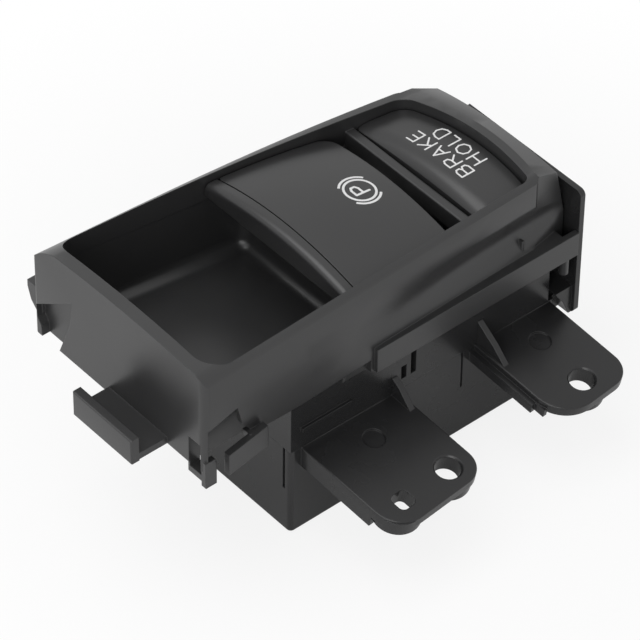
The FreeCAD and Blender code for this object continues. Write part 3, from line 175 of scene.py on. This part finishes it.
# Corners closer than this are joined, and edges sharper than this stay sharp
WELD_REACH = 0.000002
SHARP_EDGE = math.radians(28)


def dress(name, material):
    """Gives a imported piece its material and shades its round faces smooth."""
    piece = nodes[name]
    piece.data.materials.clear()
    piece.data.materials.append(material)
    for face in piece.data.polygons:
        face.use_smooth = True
        face.material_index = 0
    weld = piece.modifiers.new("join corners", "WELD")
    weld.merge_threshold = WELD_REACH
    split = piece.modifiers.new("keep edges", "EDGE_SPLIT")
    split.split_angle = SHARP_EDGE


for look, names in NODE_LOOKS.items():
    for node_name in names:
        dress(node_name, look)


# Floor, light and camera

FLOOR_HALF = 3.0
FLOOR_DROP = 0.0002
# How much plain white the floor shows to the camera, in mirrored rays and through glass
FLOOR_WHITE = (0.84, 0.2, 0.84)
# The floor shows the shadow up to the first distance and is plain white from the second
SHADOW_REACH = 0.09
WHITE_FROM = 0.17
WORLD_LIGHT = 0.35
# Each lamp's name, place, width and height, and power in watts
LAMPS = [
    ("key", (-0.25, 0.1, 0.8), (0.7, 0.7), 3.6),
    ("side", (-0.55, -0.45, 0.35), (0.5, 0.4), 2.4),
]

def background_rays(tree, shares):
    """Share of plain white for the rays from the camera, mirrored and through glass."""
    path = tree.nodes.new("ShaderNodeLightPath")
    total = None
    for kind, share in zip(("Is Camera Ray", "Is Glossy Ray", "Is Transmission Ray"), shares):
        add = tree.nodes.new("ShaderNodeMath")
        add.operation = "MULTIPLY_ADD"
        add.use_clamp = True
        add.inputs[1].default_value = share
        add.inputs[2].default_value = 0
        tree.links.new(path.outputs[kind], add.inputs[0])
        if total:
            tree.links.new(total, add.inputs[2])
        total = add.outputs["Value"]
    return total


def make_floor():
    """A wide pale floor just under the part."""
    half = FLOOR_HALF
    mesh = bpy.data.meshes.new("floor")
    mesh.from_pydata([(-half, -half, 0), (half, -half, 0), (half, half, 0), (-half, half, 0)],
                     [], [(0, 1, 2, 3)])
    floor = bpy.data.objects.new("floor", mesh)
    bpy.context.scene.collection.objects.link(floor)
    floor.location.z = cad_low.z - FLOOR_DROP
    material, tree, shader = new_material("pale floor")
    cloud = noise(tree, 8.0)
    tree.links.new(tint(tree, cloud, (0.91, 0.91, 0.91), (0.93, 0.93, 0.93)),
                   shader.inputs["Base Color"])
    shader.inputs["Roughness"].default_value = 0.9
    glow = tree.nodes.new("ShaderNodeEmission")
    glow.inputs["Color"].default_value = (1, 1, 1, 1)
    place = tree.nodes.new("ShaderNodeTexCoord")
    away = tree.nodes.new("ShaderNodeVectorMath")
    away.operation = "LENGTH"
    tree.links.new(place.outputs["Object"], away.inputs[0])
    white = tree.nodes.new("ShaderNodeMapRange")
    white.inputs["From Min"].default_value = SHADOW_REACH
    white.inputs["From Max"].default_value = WHITE_FROM
    tree.links.new(away.outputs["Value"], white.inputs["Value"])
    tree.links.new(background_rays(tree, FLOOR_WHITE), white.inputs["To Min"])
    tree.links.new(background_rays(tree, (1, 1, 1)), white.inputs["To Max"])
    mix = tree.nodes.new("ShaderNodeMixShader")
    tree.links.new(white.outputs["Result"], mix.inputs["Fac"])
    tree.links.new(shader.outputs["BSDF"], mix.inputs[1])
    tree.links.new(glow.outputs["Emission"], mix.inputs[2])
    output = next(n for n in tree.nodes if n.type == "OUTPUT_MATERIAL")
    tree.links.new(mix.outputs["Shader"], output.inputs["Surface"])
    floor.data.materials.append(material)


def make_world(strength):
    """Soft even light that shows as white behind the part."""
    world = bpy.data.worlds.new("studio")
    bpy.context.scene.world = world
    world.use_nodes = True
    tree = world.node_tree
    tree.nodes.clear()
    output = tree.nodes.new("ShaderNodeOutputWorld")
    soft = tree.nodes.new("ShaderNodeBackground")
    soft.inputs["Color"].default_value = (1, 1, 1, 1)
    soft.inputs["Strength"].default_value = strength
    white = tree.nodes.new("ShaderNodeBackground")
    white.inputs["Color"].default_value = (1, 1, 1, 1)
    white.inputs["Strength"].default_value = 1.0
    mix = tree.nodes.new("ShaderNodeMixShader")
    tree.links.new(background_rays(tree, (1, 1, 1)), mix.inputs["Fac"])
    tree.links.new(soft.outputs["Background"], mix.inputs[1])
    tree.links.new(white.outputs["Background"], mix.inputs[2])
    tree.links.new(mix.outputs["Shader"], output.inputs["Surface"])


def area_light(name, place, aim, size, power):
    """A rectangular lamp turned towards a point."""
    data = bpy.data.lights.new(name, "AREA")
    data.shape = "RECTANGLE"
    data.size, data.size_y = size
    data.energy = power
    light = bpy.data.objects.new(name, data)
    light.location = place
    light.rotation_mode = "QUATERNION"
    light.rotation_quaternion = (Vector(aim) - Vector(place)).to_track_quat("-Z", "Y")
    bpy.context.scene.collection.objects.link(light)


CAMERA_TURN = math.radians(41)
CAMERA_TILT = math.radians(43.2)
CAMERA_ROLL = math.radians(0.82)
FOCAL_PIXELS = 4500.0
IMAGE_SIZE = 640
SENSOR = 36.0
ANCHOR_DEPTH = 1.0
# The upper end of the near upright corner, and where the photograph shows it
ANCHOR = Vector((-0.0706, -0.02625, 0.070))
ANCHOR_PIXEL = (204.5, 387.0)


def make_camera():
    """The camera from the photograph's side, set by one known corner."""
    turn, tilt, roll = CAMERA_TURN, CAMERA_TILT, CAMERA_ROLL
    right = Vector((math.cos(turn), -math.sin(turn), 0))
    down = Vector((-math.sin(turn) * math.sin(tilt), -math.cos(turn) * math.sin(tilt),
                   -math.cos(tilt)))
    ahead = Vector((math.sin(turn) * math.cos(tilt), math.cos(turn) * math.cos(tilt),
                    -math.sin(tilt)))
    rolled_right = right * math.cos(roll) - down * math.sin(roll)
    rolled_down = right * math.sin(roll) + down * math.cos(roll)
    across = (ANCHOR_PIXEL[0] - IMAGE_SIZE / 2) / FOCAL_PIXELS * ANCHOR_DEPTH
    below = (ANCHOR_PIXEL[1] - IMAGE_SIZE / 2) / FOCAL_PIXELS * ANCHOR_DEPTH
    place = ANCHOR - rolled_right * across - rolled_down * below - ahead * ANCHOR_DEPTH
    data = bpy.data.cameras.new("camera")
    data.sensor_width = SENSOR
    data.lens = FOCAL_PIXELS / IMAGE_SIZE * SENSOR
    data.clip_start, data.clip_end = 0.05, 20
    camera = bpy.data.objects.new("camera", data)
    camera.matrix_world = Matrix((
        (rolled_right.x, -rolled_down.x, -ahead.x, place.x),
        (rolled_right.y, -rolled_down.y, -ahead.y, place.y),
        (rolled_right.z, -rolled_down.z, -ahead.z, place.z),
        (0, 0, 0, 1)))
    bpy.context.scene.collection.objects.link(camera)
    bpy.context.scene.camera = camera


bpy.context.scene.view_settings.view_transform = "Standard"
make_floor()
make_world(WORLD_LIGHT)
middle = (cad_low + cad_high) / 2
for lamp_name, lamp_place, lamp_size, lamp_power in LAMPS:
    area_light(lamp_name, lamp_place, middle, lamp_size, lamp_power)
make_camera()
